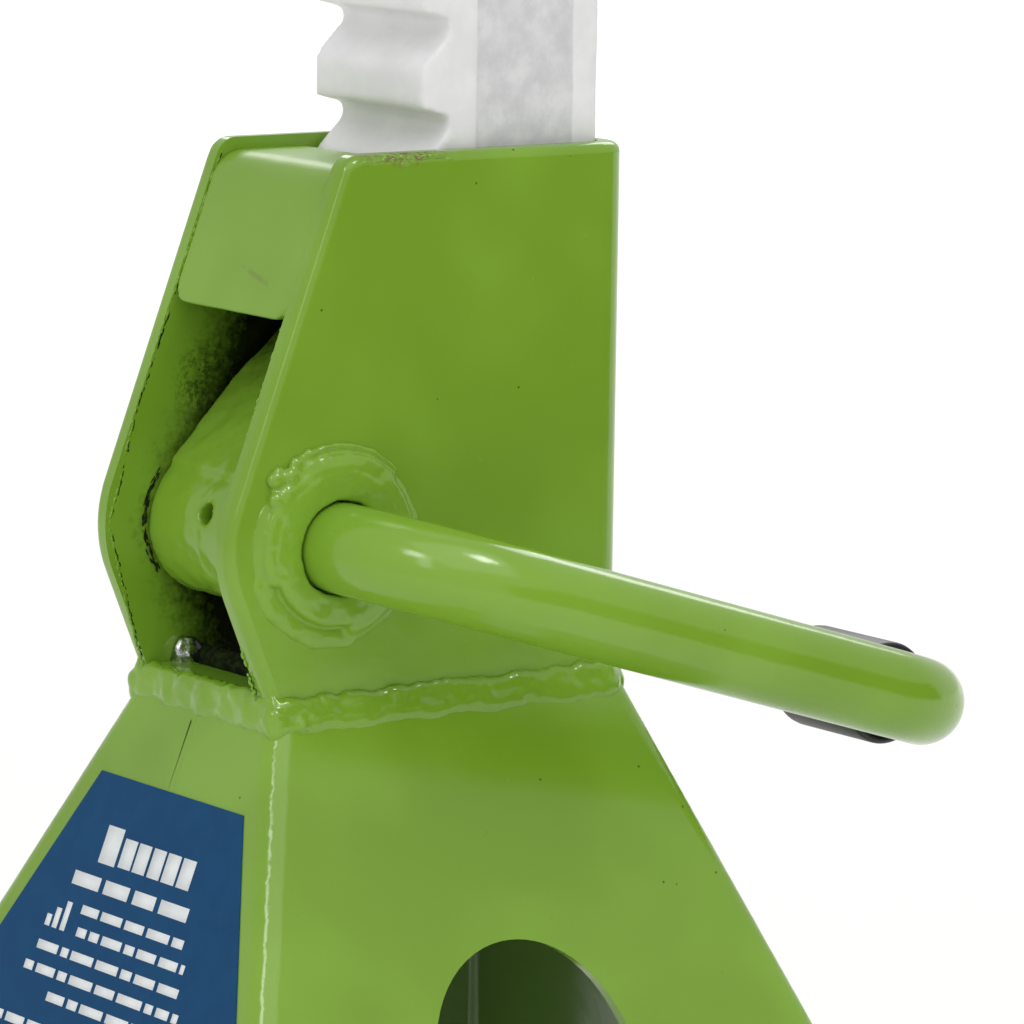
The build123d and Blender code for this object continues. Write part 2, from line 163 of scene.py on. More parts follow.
def makeCamera(s):
    a, e, r = (math.radians(s[k]) for k in ("azimuth", "elevation", "roll"))
    right = Vector((math.cos(a), math.sin(a), 0))
    back = Vector((math.sin(a) * math.cos(e), -math.cos(a) * math.cos(e), math.sin(e)))
    up = back.cross(right)
    tiltedRight = math.cos(r) * right + math.sin(r) * up
    tiltedUp = -math.sin(r) * right + math.cos(r) * up
    data = bpy.data.cameras.new("camera")
    data.lens = s["lens"]
    data.clip_start, data.clip_end = 0.05, 50
    cam = bpy.data.objects.new("camera", data)
    scene.collection.objects.link(cam)
    turn = Matrix((tiltedRight, tiltedUp, back)).transposed().to_4x4()
    cam.matrix_world = Matrix.Translation((Vector(s["aim"]) + back * s["distance"]) * mm) @ turn
    scene.camera = cam


makeCamera(camSet)
print("camera set")


studioSet = dict(floorSize=(14.0, 14.0), floorHex="#F4F4F2", worldHex="#FFFFFF", worldStrength=0.72,
                 flagHex="#2A2A28", flagSize=(1.5, 0.62), flagPlace=(0.74, 0.56, 0.10), head=(0, 0, 0.2),
                 # name, size, place and watts; only gloss reflects the two bright glint boxes
                 boxes=(("topBox", (1.5, 1.5), (0.8, -0.15, 1.5), 7),
                        ("keyBox", (0.3, 0.9), (0.85, -1.25, 1.15), 2),
                        ("glintFront", (0.32, 0.32), (0.47, -1.0, 1.25), 2.6),
                        ("glintTop", (0.32, 0.32), (0.72, 0.18, 1.5), 5.0)),
                 backBox=("backBox", (3.0, 2.0), (-2.5, 2.2, 2.4), (-1.2, 1.0, 0), 60))


def makeSheet(name, matName, hexText, roughness, size, place):
    # a flat sheet of the studio, which isn't part of the object
    bm = bmesh.new()
    bmesh.ops.create_grid(bm, x_segments=1, y_segments=1, size=0.5,
                          matrix=place @ Matrix.Diagonal((*size, 1, 1)))
    mesh = bpy.data.meshes.new(name)
    bm.to_mesh(mesh)
    bm.free()
    sheet = bpy.data.objects.new(name, mesh)
    scene.collection.objects.link(sheet)
    mat = newMaterial(matName)
    shader = addNode(mat, "BsdfPrincipled", {"Base Color": linear(hexText), "Roughness": roughness})
    addNode(mat, "OutputMaterial", links={"Surface": (shader, "BSDF")})
    paint(sheet, mat)
    return sheet


def makeStudio(s):
    # uncoated paper: matt, even, nearly white
    makeSheet("floor", "studioPaper", s["floorHex"], 0.9, s["floorSize"], Matrix())
    # velvet: matt and dark, it keeps glare off the side plates; only reflections see it
    turn = (Vector(s["head"]) - Vector(s["flagPlace"])).to_track_quat("Z", "Y").to_matrix().to_4x4()
    place = Matrix.Translation(s["flagPlace"]) @ turn
    flag = makeSheet("studioFlag", "blackVelvet", s["flagHex"], 1.0, s["flagSize"], place)
    flag.visible_camera = flag.visible_shadow = flag.visible_diffuse = False
    world = bpy.data.worlds.new("studio")
    world.use_nodes = True
    back = world.node_tree.nodes["Background"]
    back.inputs["Color"].default_value = linear(s["worldHex"])
    back.inputs["Strength"].default_value = s["worldStrength"]
    scene.world = world
    for name, size, place, watts in s["boxes"]:
        softBox(name, size, place, s["head"], watts)
        if name.startswith("glint"):
            bpy.data.objects[name].visible_diffuse = False
    softBox(*s["backBox"])


def softBox(name, size, place, aim, power):
    data = bpy.data.lights.new(name, "AREA")
    data.shape = "RECTANGLE"
    data.size, data.size_y = size
    data.energy = power
    lamp = bpy.data.objects.new(name, data)
    scene.collection.objects.link(lamp)
    lamp.location = place
    lamp.rotation_mode = "QUATERNION"
    lamp.rotation_quaternion = (Vector(aim) - Vector(place)).to_track_quat("-Z", "Y")


makeStudio(studioSet)
scene.view_settings.view_transform = "Standard"
print("studio set")


# the recess colour is painted shade for the recess between the cheeks, the inside colour painted shade for
# the inside of the base
coatSet = dict(hexDeep="#749B27", hexLight="#7EA832", hexRecessShade="#151B06", hexBaseInsideShade="#42611A",
               hexPinhole="#3E5612", cloudMm=32, patchMm=19, speckMm=5.5, nibMm=5.3, shadeEdgeMm=1.3, peelMm=1.1,
               waveMm=9.0, roughness=0.16, ior=1.5, frontSlope=-0.39,
               # slope and reach at the floor of the base's inner faces: both sides, front, rear
               baseWalls=((0.501, 97.4), (0.387, 88.7), (0.367, 88.6)), baseFade=0.6)
smoothStep = {"interpolation_type": "SMOOTHSTEP"}
multiply = {"operation": "MULTIPLY"}
multiplyAdd = {"operation": "MULTIPLY_ADD"}
absolute = {"operation": "ABSOLUTE"}
rgbMix = {"data_type": "RGBA"}


def mask(mat, place, centre, radii, turn, soft):
    # 1 inside an ellipsoid at a place on the part, fading to 0 at its skin
    local = addNode(mat, "Mapping", {"vector_type": "TEXTURE", "Location": Vector(centre) * mm,
                                     "Rotation": [math.radians(t) for t in turn],
                                     "Scale": Vector(radii) * mm}, {"Vector": (place, "Object")})
    far = addNode(mat, "VectorMath", {"operation": "LENGTH"}, {0: (local, "Vector")})
    return addNode(mat, "MapRange", {**smoothStep, 1: 1.0, 2: 1.0 - soft}, {0: (far, "Value")})


def paintRecessShade(mat, place, s, colour, shadeFrom):
    # painted shade: the recess is painted dark from a set number of mm behind the cheeks' front
    where = addNode(mat, "SeparateXYZ", links={"Vector": (place, "Object")})
    lift = addNode(mat, "Math", {"operation": "SUBTRACT", 1: 185 * mm}, {0: (where, "Z")})
    away = addNode(mat, "Math", absolute, {0: (lift, 0)})
    depth = addNode(mat, "Math", {**multiplyAdd, 1: s["frontSlope"]}, {0: (away, 0), 2: (where, "Y")})
    edgeNoise = addNode(mat, "TexNoise", {"Scale": 1000 / s["shadeEdgeMm"], "Detail": 4.0, "Roughness": 0.7},
                   {"Vector": (place, "Object")})
    ragged = addNode(mat, "Math", {**multiplyAdd, 1: 10 * mm}, {0: (edgeNoise, "Fac"), 2: (depth, 0)})
    dark = addNode(mat, "MapRange", {**smoothStep, 1: (shadeFrom - 30.5) * mm, 2: (shadeFrom - 20.5) * mm},
                   {0: (ragged, 0)})
    side = addNode(mat, "Math", absolute, {0: (where, "X")})
    # only between the cheeks, in front of the back wall and below the guide plate's top
    for source, clean, full in (((side, 0), 13.9, 13.6), ((where, "Y"), 27.5, 27.2),
                                ((where, "Z"), 234, 228)):
        limit = addNode(mat, "MapRange", {**smoothStep, 1: clean * mm, 2: full * mm}, {0: source})
        dark = addNode(mat, "Math", multiply, {0: (dark, 0), 1: (limit, 0)})
    return addNode(mat, "Mix", {**rgbMix, 7: linear(s["hexRecessShade"])}, {0: (dark, 0), 6: (colour, 2)})


def paintBaseInsideShade(mat, place, s, colour):
    # painted shade: the inside faces of the folded base are painted darker
    where = addNode(mat, "SeparateXYZ", links={"Vector": (place, "Object")})
    side = addNode(mat, "Math", absolute, {0: (where, "X")})
    front = addNode(mat, "Math", {**multiply, 1: -1.0}, {0: (where, "Y")})
    inside = None
    for far, (slope, reach) in zip(((side, 0), (front, 0), (where, "Y")), s["baseWalls"]):
        reached = addNode(mat, "Math", {**multiplyAdd, 1: slope}, {0: (where, "Z"), 2: far})
        wall = addNode(mat, "MapRange", {**smoothStep, 1: reach * mm, 2: (reach - s["baseFade"]) * mm},
                       {0: (reached, 0)})
        if inside is None:
            inside = wall
        else:
            inside = addNode(mat, "Math", multiply, {0: (inside, 0), 1: (wall, 0)})
    return addNode(mat, "Mix", {**rgbMix, 7: linear(s["hexBaseInsideShade"])}, {0: (inside, 0), 6: (colour, 2)})


def wearAndShadePatch(mat, place, colour, w):
    # spots of another colour inside an ellipsoid; the threshold sets how much of it they fill
    patch = mask(mat, place, w["centre"], w["radii"], w["turn"], 0.8)
    grain = addNode(mat, "TexNoise", {"Scale": 1000 / w["grainMm"], "Detail": 3.0, "Roughness": 0.65},
                    {"Vector": (place, "Object")})
    spots = addNode(mat, "MapRange", {**smoothStep, 1: w["threshold"], 2: w["threshold"] + 0.06,
                                      4: w["strength"]}, {0: (grain, "Fac")})
    both = addNode(mat, "Math", multiply, {0: (patch, 0), 1: (spots, 0)})
    return addNode(mat, "Mix", {**rgbMix, 7: linear(w["hexText"])}, {0: (both, 0), 6: (colour, 2)})


def powderCoat(name, s, shadeFrom=None, worn=(), shadeBaseInside=False):
    # powder coat, sprayed and baked: thick and glossy, faintly orange-peeled, with nibs and pinholes; it can
    # also carry painted shade in the recess between the cheeks and on the inside of the base
    mat = newMaterial(name)
    place = addNode(mat, "TexCoord")
    clouds = addNode(mat, "TexNoise", {"Scale": 1000 / s["cloudMm"]}, {"Vector": (place, "Object")})
    cloud = addNode(mat, "MapRange", {**smoothStep, 1: 0.35, 2: 0.65}, {0: (clouds, "Fac")})
    colour = addNode(mat, "Mix", {**rgbMix, 6: linear(s["hexDeep"]), 7: linear(s["hexLight"])},
                     {0: (cloud, 0)})
    # pinholes: one small dot in some of the cells of a wide grid
    cells = addNode(mat, "TexVoronoi", {"Scale": 1000 / s["speckMm"]}, {"Vector": (place, "Object")})
    dot = addNode(mat, "MapRange", {**smoothStep, 1: 0.040, 2: 0.024}, {0: (cells, "Distance")})
    patches = addNode(mat, "TexNoise", {"Scale": 1000 / s["patchMm"], "Detail": 1.0},
                      {"Vector": (place, "Object")})
    some = addNode(mat, "MapRange", {**smoothStep, 1: 0.45, 2: 0.50}, {0: (patches, "Fac")})
    dots = addNode(mat, "Math", multiply, {0: (dot, 0), 1: (some, 0)})
    colour = addNode(mat, "Mix", {**rgbMix, 7: linear(s["hexPinhole"])}, {0: (dots, 0), 6: (colour, 2)})
    # painted shade deep in the recess between the cheeks
    if shadeFrom is not None:
        colour = paintRecessShade(mat, place, s, colour, shadeFrom)
    # painted shade on the inside faces of the folded base
    if shadeBaseInside:
        colour = paintBaseInsideShade(mat, place, s, colour)
    # wear patches, and the painted shade in the pin hole
    for w in worn:
        colour = wearAndShadePatch(mat, place, colour, w)
    peelNoise = addNode(mat, "TexNoise", {"Scale": 1000 / s["peelMm"], "Detail": 1.0},
                        {"Vector": (place, "Object")})
    waveNoise = addNode(mat, "TexNoise", {"Scale": 1000 / s["waveMm"], "Detail": 1.0},
                        {"Vector": (place, "Object")})
    nibCells = addNode(mat, "TexVoronoi", {"Scale": 1000 / s["nibMm"]}, {"Vector": (place, "Object")})
    nib = addNode(mat, "MapRange", {**smoothStep, 1: 0.05, 2: 0.0}, {0: (nibCells, "Distance")})
    peel = addNode(mat, "Bump", {"Strength": 0.30, "Distance": 0.04 * mm}, {"Height": (peelNoise, "Fac")})
    wave = addNode(mat, "Bump", {"Strength": 0.40, "Distance": 0.30 * mm},
                   {"Height": (waveNoise, "Fac"), "Normal": (peel, "Normal")})
    nibs = addNode(mat, "Bump", {"Strength": 0.5, "Distance": 0.10 * mm},
                   {"Height": (nib, 0), "Normal": (wave, "Normal")})
    shader = addNode(mat, "BsdfPrincipled", {"Roughness": s["roughness"], "IOR": s["ior"]},
                     {"Base Color": (colour, 2), "Normal": (nibs, "Normal")})
    addNode(mat, "OutputMaterial", links={"Surface": (shader, "BSDF")})
    return mat


enamelSet = dict(hexDeep="#E3E2E3", hexLight="#EBEAEB", hexSunk="#C6C6C8", cloudMm=7, mottleMm=3.2,
                 castMm=2.6, sunkSide=(12.55, 12.40), sunkFrom=(6.6, 7.0), roughness=0.38, ior=1.5)


def whiteEnamel(s):
    # enamel, brushed white over an iron casting: mottled and half gloss, greyer in the sunk side panels
    mat = newMaterial("whiteEnamelOnCasting")
    place = addNode(mat, "TexCoord")
    clouds = addNode(mat, "TexNoise", {"Scale": 1000 / s["cloudMm"], "Detail": 4.0, "Roughness": 0.6},
                     {"Vector": (place, "Object")})
    cloud = addNode(mat, "MapRange", {**smoothStep, 1: 0.35, 2: 0.68}, {0: (clouds, "Fac")})
    colour = addNode(mat, "Mix", {**rgbMix, 6: linear(s["hexDeep"]), 7: linear(s["hexLight"])},
                     {0: (cloud, 0)})
    where = addNode(mat, "SeparateXYZ", links={"Vector": (place, "Object")})
    side = addNode(mat, "Math", absolute, {0: (where, "X")})
    blots = addNode(mat, "TexNoise", {"Scale": 1000 / s["mottleMm"], "Detail": 5.0, "Roughness": 0.65},
                    {"Vector": (place, "Object")})
    sunk = addNode(mat, "MapRange", {**smoothStep, 1: 0.30, 2: 0.70, 3: 0.35, 4: 0.9}, {0: (blots, "Fac")})
    for source, (clean, full) in (((side, 0), s["sunkSide"]), ((where, "Y"), s["sunkFrom"])):
        limit = addNode(mat, "MapRange", {**smoothStep, 1: clean * mm, 2: full * mm}, {0: source})
        sunk = addNode(mat, "Math", multiply, {0: (sunk, 0), 1: (limit, 0)})
    colour = addNode(mat, "Mix", {**rgbMix, 7: linear(s["hexSunk"])}, {0: (sunk, 0), 6: (colour, 2)})
    castNoise = addNode(mat, "TexNoise", {"Scale": 1000 / s["castMm"], "Detail": 5.0, "Roughness": 0.6},
                        {"Vector": (place, "Object")})
    cast = addNode(mat, "Bump", {"Strength": 0.25, "Distance": 0.15 * mm}, {"Height": (castNoise, "Fac")})
    shader = addNode(mat, "BsdfPrincipled", {"Roughness": s["roughness"], "IOR": s["ior"]},
                     {"Base Color": (colour, 2), "Normal": (cast, "Normal")})
    addNode(mat, "OutputMaterial", links={"Surface": (shader, "BSDF")})
    return mat


def plainFinish(name, hexLow, hexHigh, grainMm, roughness, bump=0.2, metallic=0.0, ior=1.5):
    mat = newMaterial(name)
    place = addNode(mat, "TexCoord")
    grain = addNode(mat, "TexNoise", {"Scale": 1000 / grainMm, "Detail": 4.0, "Roughness": 0.6},
                    {"Vector": (place, "Object")})
    blend = addNode(mat, "MapRange", {**smoothStep, 1: 0.35, 2: 0.65}, {0: (grain, "Fac")})
    colour = addNode(mat, "Mix", {**rgbMix, 6: linear(hexLow), 7: linear(hexHigh)}, {0: (blend, 0)})
    relief = addNode(mat, "Bump", {"Strength": bump, "Distance": 0.08 * mm}, {"Height": (grain, "Fac")})
    shader = addNode(mat, "BsdfPrincipled", {"Roughness": roughness, "Metallic": metallic, "IOR": ior},
                     {"Base Color": (colour, 2), "Normal": (relief, "Normal")})
    addNode(mat, "OutputMaterial", links={"Surface": (shader, "BSDF")})
    return mat


# places on the part, in mm, where the coat is knocked off, scuffed or missing, and the painted shade in the
# pawl's pin hole
sleeveWear = [dict(centre=(15.6, -7.0, 235.8), radii=(2.2, 9.5, 2.4), turn=(0, 0, 0), threshold=0.50,
                   hexText="#6E5936", grainMm=0.8, strength=0.85),
              dict(centre=(-13.5, -18.0, 203.5), radii=(1.5, 6.5, 8.0), turn=(0, 0, 0), threshold=0.50,
                   hexText="#2B3A10", grainMm=0.6, strength=0.75)]
# painted shade: a near-black disc in the pawl's roll pin hole
pinHoleShade = [dict(centre=(0, -24.4, 187.4), radii=(1.75, 2.5, 1.75), turn=(-17, 0, 0), threshold=0.0,
                hexText="#121A06", grainMm=1.0, strength=1.0)]
plateWear = [dict(centre=(4.3, -21.9, 219.6), radii=(6.4, 2.0, 0.55), turn=(0, 14, 0), threshold=0.42,
                  hexText="#6F7F33", grainMm=1.6, strength=0.55)]
# painted shade starts this many mm behind the cheeks' front, on the head sleeve and on the pawl
headShadeFrom = 4.5
pawlShadeFrom = 13.0

green = powderCoat("glossPowderCoatGreen", coatSet)
greenHeadShaded = powderCoat("glossPowderCoatHeadShaded", coatSet, headShadeFrom, sleeveWear)
greenPawlShaded = powderCoat("glossPowderCoatPawlShaded", coatSet, pawlShadeFrom, pinHoleShade)
plateRoughness = 0.34  # handled dull
greenPlate = powderCoat("glossPowderCoatPlate", dict(coatSet, roughness=plateRoughness), None, plateWear)
# the base's coat carries painted shade on its inside faces
greenBaseShaded = powderCoat("glossPowderCoatBaseShaded", coatSet, None, (), True)
white = whiteEnamel(enamelSet)
# PVC grip, hot dipped: soft black with a low shine
black = plainFinish("dippedRubberBlack", "#0E0E0F", "#1A1A1B", 1.5, 0.42)
# vinyl sticker, printed film: flat, even blue, hardly any glare
blue = plainFinish("vinylStickerBlue", "#0A436D", "#0C4771", 4.0, 0.45, 0.05, 0.0, 1.2)
# screen ink, printed: flat white, a hair above the film
ink = plainFinish("screenInkWhite", "#E4E8EA", "#EAEDEE", 4.0, 0.5, 0.05, 0.0, 1.2)
# nearly black, matt and crumbly: the dark flecks and seam line, and painted shade on the roll pin and the
# lower guide rod
darkMattAndShade = plainFinish("darkMattAndPaintedShade", "#0D1206", "#263410", 0.8, 0.85, 0.6, 0.0, 1.25)
# mild steel, frozen spatter: small bright facets
steel = plainFinish("weldSpatterSteel", "#8C8E8A", "#D5D7D2", 0.5, 0.22, 0.8, 1.0)
print("finishes mixed")


sleeveSet = dict(outerRound=1.5, innerRound=0.35, boreClear=8.0)


def makeSleeve(s):
    # the outer outline is worn round all the way, the inner edges are only just broken
    bm = nodeCopy("head_sleeve")
    weight = bm.edges.layers.float.new("bevel_weight_edge")
    for e in bm.edges:
        if len(e.link_faces) != 2 or e.calc_face_angle(0) < sharpAngle:
            continue
        middle = (e.verts[0].co + e.verts[1].co) / 2
        outward = Vector((middle.x, max(middle.y, 0), 0)).normalized()
        fromPivot = math.hypot(middle.y - pivotY * mm, middle.z - pivotZ * mm)
        if max(f.normal.dot(outward) for f in e.link_faces) > 0.5 and fromPivot > s["boreClear"] * mm:
            e[weight] = 1.0
    sleeve = makePiece(bm, "headSleevePainted", greenHeadShaded, "stand", ["head_sleeve"])
    worn = sleeve.modifiers.new("wornOutline", "BEVEL")
    worn.limit_method, worn.width, worn.segments = "WEIGHT", s["outerRound"] * mm, 5
    softEdges(sleeve, s["innerRound"])


makeSleeve(sleeveSet)
print("head sleeve done")


plateSet = dict(voxel=0.36, smoothTimes=5, seamRadius=0.9, seamX=13.5, seamStep=0.8, slope=0.376,
                topY=-14.75, topZ=236, waves=[(0.07, 6.0)])


def makeGuidePlate(s):
    # plate and the weld along its near side become one painted skin, flush with the cheek
    bm = nodeCopy("front_guide_plate")
    low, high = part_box("front_guide_plate")
    z = low.z / mm + 1.5
    while z < high.z / mm - 4:
        y = s["topY"] + s["slope"] * (z - s["topZ"])
        lump(bm, (s["seamX"], y, z), s["seamRadius"], (1.5, 1.0, 1.6))
        z += s["seamStep"]
    plate = makePiece(bm, "guidePlatePainted", greenPlate, "stand",
                      ["front_guide_plate", "guide_plate_welds"])
    remesh(plate, s["voxel"], s["smoothTimes"])
    roughen(plate, s["waves"], 2)


makeGuidePlate(plateSet)
print("guide plate done")


pawlSet = dict(voxel=0.36, smoothTimes=9, waves=[(0.32, 7.0), (0.13, 2.6), (0.04, 1.3)])


def makePawl(s):
    # sand casting under thick paint
    pawl = makePiece(nodeCopy("pawl"), "pawlCasting", greenPawlShaded, "handle", ["pawl"])
    remesh(pawl, s["voxel"], s["smoothTimes"])
    roughen(pawl, s["waves"], 5)


makePawl(pawlSet)
print("pawl done")


barSet = dict(voxel=0.63, smoothTimes=1, waves=[(0.08, 9.0), (0.03, 3.0)])


def makeBar(s):
    # smoother casting under brushed enamel
    bm = nodeCopy("ratchet_bar")
    bar = makePiece(bm, "ratchetBarCasting", white, "bar", ["ratchet_bar"])
    remesh(bar, s["voxel"], s["smoothTimes"])
    roughen(bar, s["waves"], 8)


makeBar(barSet)
print("toothed bar done")


bossSet = dict(face=16.5, voxel=0.26, smoothTimes=10, waves=[(0.22, 2.6), (0.05, 1.0)],
               beads=180, beadRadius=11.3, beadSize=1.5, beadHeight=-0.35, drift=0.25,
               groove=(-162, -78), grooveOut=0.55,  # degrees where the bead lies away from the ring
               filletIn=0.9, filletHeight=0.8, filletSize=1.0,
               ripples=((11.9, 0.7), (13.2, 0.05)), rippleSize=0.62,  # radius and height of each ripple
               rippleFrom=48, rippleStep=2.4, rippleCount=30,
               # radius, angle, height and size of the lumps at the upper front
               lumps=((13.4, 135, 0.1, 1.35), (12.3, 127, 0.6, 1.2), (12.0, 145, 0.6, 1.2),
                      (13.0, 119, 0.2, 1.15), (11.2, 136, 1.0, 1.0), (13.2, 110, 0.1, 0.9),
                      (14.0, 131, 0.0, 0.8)))


def makeBoss(side, s):
    sign = 1 if side == "right" else -1
    random.seed(11 if sign > 0 else 12)
    bm = nodeCopy("boss_ring_" + side)
    x = sign * s["face"]

    def at(radius, angle, height):
        a = math.radians(angle)
        return (x + sign * height, pivotY + radius * math.cos(a), pivotZ + radius * math.sin(a))

    for k in range(s["beads"]):
        angle = k * 360 / s["beads"]
        turn = Quaternion((1, 0, 0), math.radians(angle))
        folded = (angle + 180) % 360 - 180
        inGroove = s["groove"][0] < folded < s["groove"][1]
        radius = s["beadRadius"] + (s["grooveOut"] if inGroove else 0.0)
        drift = s["drift"] * noise.noise(Vector((angle / 25, sign, 0)))
        lump(bm, at(radius + drift, angle, s["beadHeight"]), s["beadSize"] + drift / 2, (0.62, 1.3, 1.2),
             turn)
        if not inGroove:
            lump(bm, at(radius - s["filletIn"], angle, s["filletHeight"]), s["filletSize"],
                 (0.9, 1.5, 1.2), turn)
    for k in range(s["rippleCount"]):
        angle = s["rippleFrom"] + k * s["rippleStep"]
        turn = Quaternion((1, 0, 0), math.radians(angle))
        for radius, height in s["ripples"]:
            sway = s["drift"] * noise.noise(Vector((angle / 9, radius, sign)))
            lump(bm, at(radius + sway, angle, height + random.uniform(-0.08, 0.08)),
                 s["rippleSize"] + random.uniform(-0.06, 0.08), (0.8, 0.8, 1.4), turn)
    for radius, angle, height, size in s["lumps"]:
        lump(bm, at(radius, angle, height), size, (0.8, 1.1, 1.0))
    boss = makePiece(bm, "bossWeldPainted_" + side, green, "stand",
                     ["boss_ring_" + side, "boss_weld_" + side])
    remesh(boss, s["voxel"], s["smoothTimes"])
    roughen(boss, s["waves"], 3 * sign + 9)


for side in ("right", "left"):
    makeBoss(side, bossSet)
print("boss welds done")


neckSet = dict(halfWidth=16.5, frontY=-26.5, rearY=30.5, frontRound=2.0, rearRound=5.3, step=0.9, voxel=0.42,
               smoothTimes=7, waves=[(0.45, 3.4), (0.18, 1.5)], crestZ=164.75, middleZ=163.9, skirtZ=162.6,
               # a fat run at each front corner, where the bead starts and stops: place and size
               cornerLumps=(((16.2, -26.3, 163.3), 1.9), ((16.6, -26.2, 161.6), 1.7),
                            ((17.3, -23.5, 162.2), 1.7), ((17.1, -21.0, 162.4), 1.5),
                            ((15.8, -26.0, 165.2), 1.3), ((15.5, -26.5, 166.6), 0.9)))


def roundedPath(s):
    # (x, y, outward x, outward y) round the sleeve's foot
    w, f, r = s["halfWidth"], s["frontY"], s["rearY"]
    corners = [(w, f, s["frontRound"], -90), (w, r, s["rearRound"], 0), (-w, r, s["rearRound"], 90),
               (-w, f, s["frontRound"], 180)]
    points = []
    for k, (cx, cy, radius, start) in enumerate(corners):
        ox, oy = cx - math.copysign(radius, cx), cy - math.copysign(radius, cy)
        steps = max(3, round(radius * math.pi / 2 / s["step"]))
        for j in range(steps + 1):
            a = math.radians(start + 90 * j / steps)
            points.append((ox + radius * math.cos(a), oy + radius * math.sin(a), math.cos(a), math.sin(a)))
        nx, ny, nr, nstart = corners[(k + 1) % 4]
        a = math.radians(nstart)
        end = (nx - math.copysign(nr, nx) + nr * math.cos(a), ny - math.copysign(nr, ny) + nr * math.sin(a))
        last = points[-1]
        run = math.dist(last[:2], end)
        count = int(run / s["step"])
        for j in range(1, count):
            t = j / count
            points.append((last[0] + t * (end[0] - last[0]), last[1] + t * (end[1] - last[1]),
                           math.cos(a), math.sin(a)))
    return points


def makeNeckWeld(s):
    bm = bmesh.new()
    random.seed(21)
    for px, py, nx, ny in roundedPath(s):
        along = 0.5 + 0.5 * noise.noise(Vector((px, py, 0)) / 7)
        front = ny < -0.7
        crest = s["crestZ"] + (0.35 if front else 0.0)
        lump(bm, (px + nx * 0.05, py + ny * 0.05, crest + random.uniform(-0.15, 0.2)),
             1.15 + random.uniform(-0.1, 0.18))
        out = 0.1 if front else 0.45
        lump(bm, (px + nx * out, py + ny * out, s["skirtZ"] - 0.6 * along), 1.5 + 0.12 * along, (1, 1, 1.3))
        lump(bm, (px + nx * 0.25, py + ny * 0.25, s["middleZ"]), 1.2)
    for side in (-1, 1):
        for (x, y, z), size in s["cornerLumps"]:
            lump(bm, (side * x, y, z), size)
    weld = makePiece(bm, "neckWeldPainted", green, "stand", ["sleeve_neck_weld"])
    remesh(weld, s["voxel"], s["smoothTimes"])
    roughen(weld, s["waves"], 6)


makeNeckWeld(neckSet)
print("neck weld done")


rodSet = dict(radius=6.0, start=-21.0, offset=38.1, bend=17.0, length=94.6, droop=17.0, tip=3.8,
              endRound=0.6, sides=64, bendSteps=20)


def makeRod(s):
    bm = bmesh.new()
    along = Vector((0, math.cos(math.radians(s["droop"])), -math.sin(math.radians(s["droop"]))))
    pivot = Vector((0, pivotY, pivotZ))
    b = s["bend"]
    turn = Matrix.Rotation(math.radians(90), 4, "Y")
    start = Matrix.Translation((pivot + Vector((s["start"], 0, 0))) * mm)
    bmesh.ops.create_circle(bm, cap_ends=True, radius=s["radius"] * mm, segments=s["sides"],
                            matrix=start @ turn)
    rim = bm.edges[:]

    def straight(geom, move):
        out = bmesh.ops.extrude_edge_only(bm, edges=geom)["geom"]
        verts = [v for v in out if isinstance(v, bmesh.types.BMVert)]
        bmesh.ops.translate(bm, verts=verts, vec=move * mm)
        return [e for e in out if isinstance(e, bmesh.types.BMEdge)]

    def curve(geom, centre, axis):
        out = bmesh.ops.spin(bm, geom=geom, cent=centre * mm, axis=axis, angle=math.radians(90),
                             steps=s["bendSteps"])
        return [e for e in out["geom_last"] if isinstance(e, bmesh.types.BMEdge)]

    edges = straight(rim, Vector((s["offset"] - b - s["start"], 0, 0)))
    centre = pivot + Vector((s["offset"] - b, 0, 0)) + along * b
    axis = Vector((1, 0, 0)).cross(along)
    edges = curve(edges, centre, axis)
    edges = straight(edges, along * (s["length"] - 2 * b))
    centre = pivot + Vector((s["offset"] - b, 0, 0)) + along * (s["length"] - b)
    edges = curve(edges, centre, axis)
    edges = straight(edges, Vector((s["tip"] - s["offset"] + b, 0, 0)))
    bmesh.ops.contextual_create(bm, geom=edges)
    bmesh.ops.recalc_face_normals(bm, faces=bm.faces)
    caps = [e for f in bm.faces if len(f.verts) > 4 for e in f.edges]
    bmesh.ops.bevel(bm, geom=caps, offset=s["endRound"] * mm, offset_type="OFFSET", affect="EDGES",
                    segments=3, profile=0.5, material=-1)
    makePiece(bm, "leverRodPainted", green, "handle", ["handle_rod"])


makeRod(rodSet)
print("lever done")


capSet = dict(radius=7.2, openEnd=20.4, length=18.5, wall=1.9, round=2.6, sides=64, arcSteps=6, gap=0.02)


